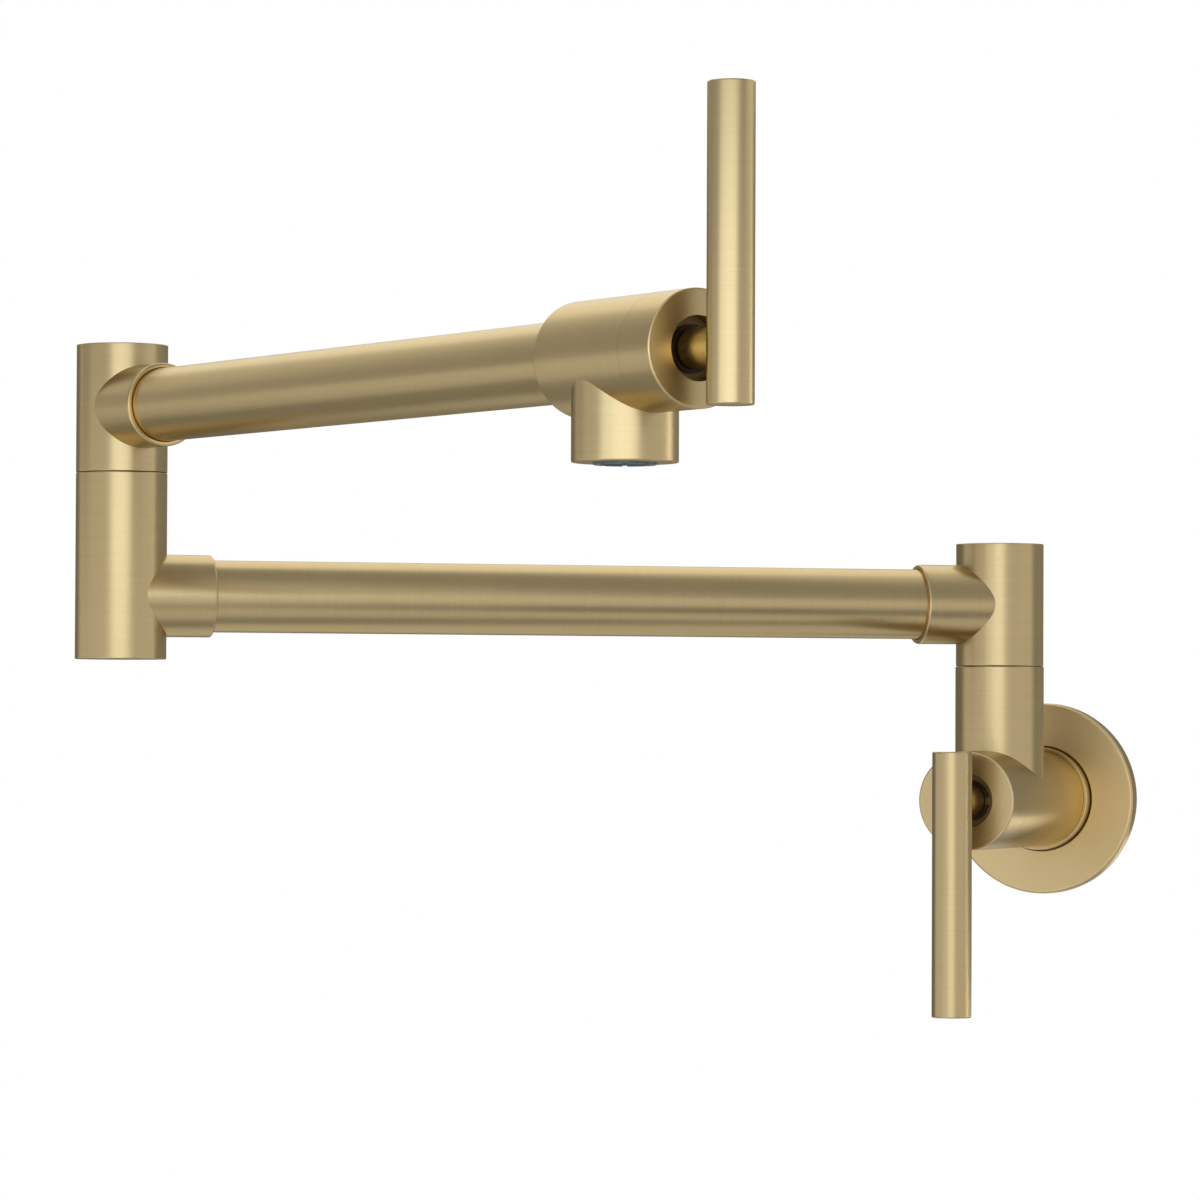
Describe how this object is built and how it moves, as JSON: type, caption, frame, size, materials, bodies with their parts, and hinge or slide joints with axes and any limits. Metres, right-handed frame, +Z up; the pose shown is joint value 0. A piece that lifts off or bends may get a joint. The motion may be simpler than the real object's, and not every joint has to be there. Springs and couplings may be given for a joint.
{
  "type": "wall mounted pot filler",
  "caption": "Wall-mounted pot filler tap with stacked swivelling arms, a bar-lever valve at the wall and another above its drop outlet.",
  "frame": {"origin": "centre of the wall flange's back face, on the wall plane, on the inlet valve's axis", "axes": "+Z up; +Y into the wall, the room is at -Y; +X to the right of someone facing the wall"},
  "size_m": [0.2975, 0.4341, 0.26],
  "materials": {
    "satin_gold": "brushed satin gold over brass, fine circumferential grain",
    "bare_brass": "machined, uncoated brass",
    "steel": "plain stainless",
    "ceramic": "lapped white ceramic",
    "ptfe": "natural slip plastic",
    "rubber": "black nitrile rubber",
    "grey_plastic": "blue-grey moulded plastic"
  },
  "bodies": {
    "wall_side": {"wall_flange": "satin_gold", "flange_gasket": "rubber", "flange_sleeve": "satin_gold", "flange_oring": "rubber", "inlet_washer": "rubber", "inlet_strainer": "steel", "inlet_adapter": "bare_brass", "inlet_valve_body": "satin_gold", "inlet_valve_cap": "satin_gold", "inlet_cartridge_body": "bare_brass", "inlet_cartridge_oring": "rubber", "inlet_seat_seal": "rubber", "inlet_fixed_disc": "ceramic", "riser_slip_washer": "ptfe", "riser_retaining_ring": "steel"},
    "inlet_handle": {"inlet_moving_disc": "ceramic", "inlet_spindle": "bare_brass", "inlet_spindle_oring": "rubber", "inlet_circlip": "steel", "inlet_lever_hub": "satin_gold", "inlet_hub_screw": "steel", "inlet_lever": "satin_gold"},
    "lower_arm": {"riser_head": "satin_gold", "riser_spigot": "bare_brass", "riser_upper_oring": "rubber", "riser_lower_oring": "rubber", "lower_arm_tube": "satin_gold", "lower_arm_inner_oring": "rubber", "lower_arm_outer_oring": "rubber", "elbow_base": "satin_gold", "elbow_slip_washer": "ptfe", "elbow_retaining_ring": "steel"},
    "upper_arm": {"elbow_head": "satin_gold", "elbow_spigot": "bare_brass", "elbow_upper_oring": "rubber", "elbow_lower_oring": "rubber", "upper_arm_tube": "satin_gold", "upper_arm_inner_oring": "rubber", "upper_arm_outer_oring": "rubber", "outlet_valve_body": "satin_gold", "outlet_valve_cap": "satin_gold", "outlet_cartridge_body": "bare_brass", "outlet_cartridge_oring": "rubber", "outlet_seat_seal": "rubber", "outlet_fixed_disc": "ceramic", "aerator_seal": "rubber", "aerator_insert": "grey_plastic", "aerator_screen": "grey_plastic"},
    "outlet_handle": {"outlet_moving_disc": "ceramic", "outlet_spindle": "bare_brass", "outlet_spindle_oring": "rubber", "outlet_circlip": "steel", "outlet_lever_hub": "satin_gold", "outlet_hub_screw": "steel", "outlet_lever": "satin_gold"}
  },
  "joints": [
    {"name": "inlet_lever_turn", "type": "hinge", "parent": "wall_side", "child": "inlet_handle", "pos_m": [0, -0.0878, 0], "axis": [0, -1, 0], "range_deg": [0, 90]},
    {"name": "riser_swivel", "type": "hinge", "parent": "wall_side", "child": "lower_arm", "pos_m": [0, -0.052, 0.0436], "axis": [0, 0, 1], "range_deg": [-36.8, 143.2]},
    {"name": "elbow_swivel", "type": "hinge", "parent": "lower_arm", "child": "upper_arm", "pos_m": [-0.23349, -0.22667, 0.1021], "axis": [0, 0, 1], "continuous": true},
    {"name": "outlet_lever_turn", "type": "hinge", "parent": "upper_arm", "child": "outlet_handle", "pos_m": [0.03138, -0.41912, 0.1222], "axis": [0.809, -0.5878, 0], "range_deg": [0, 90]}
  ]
}
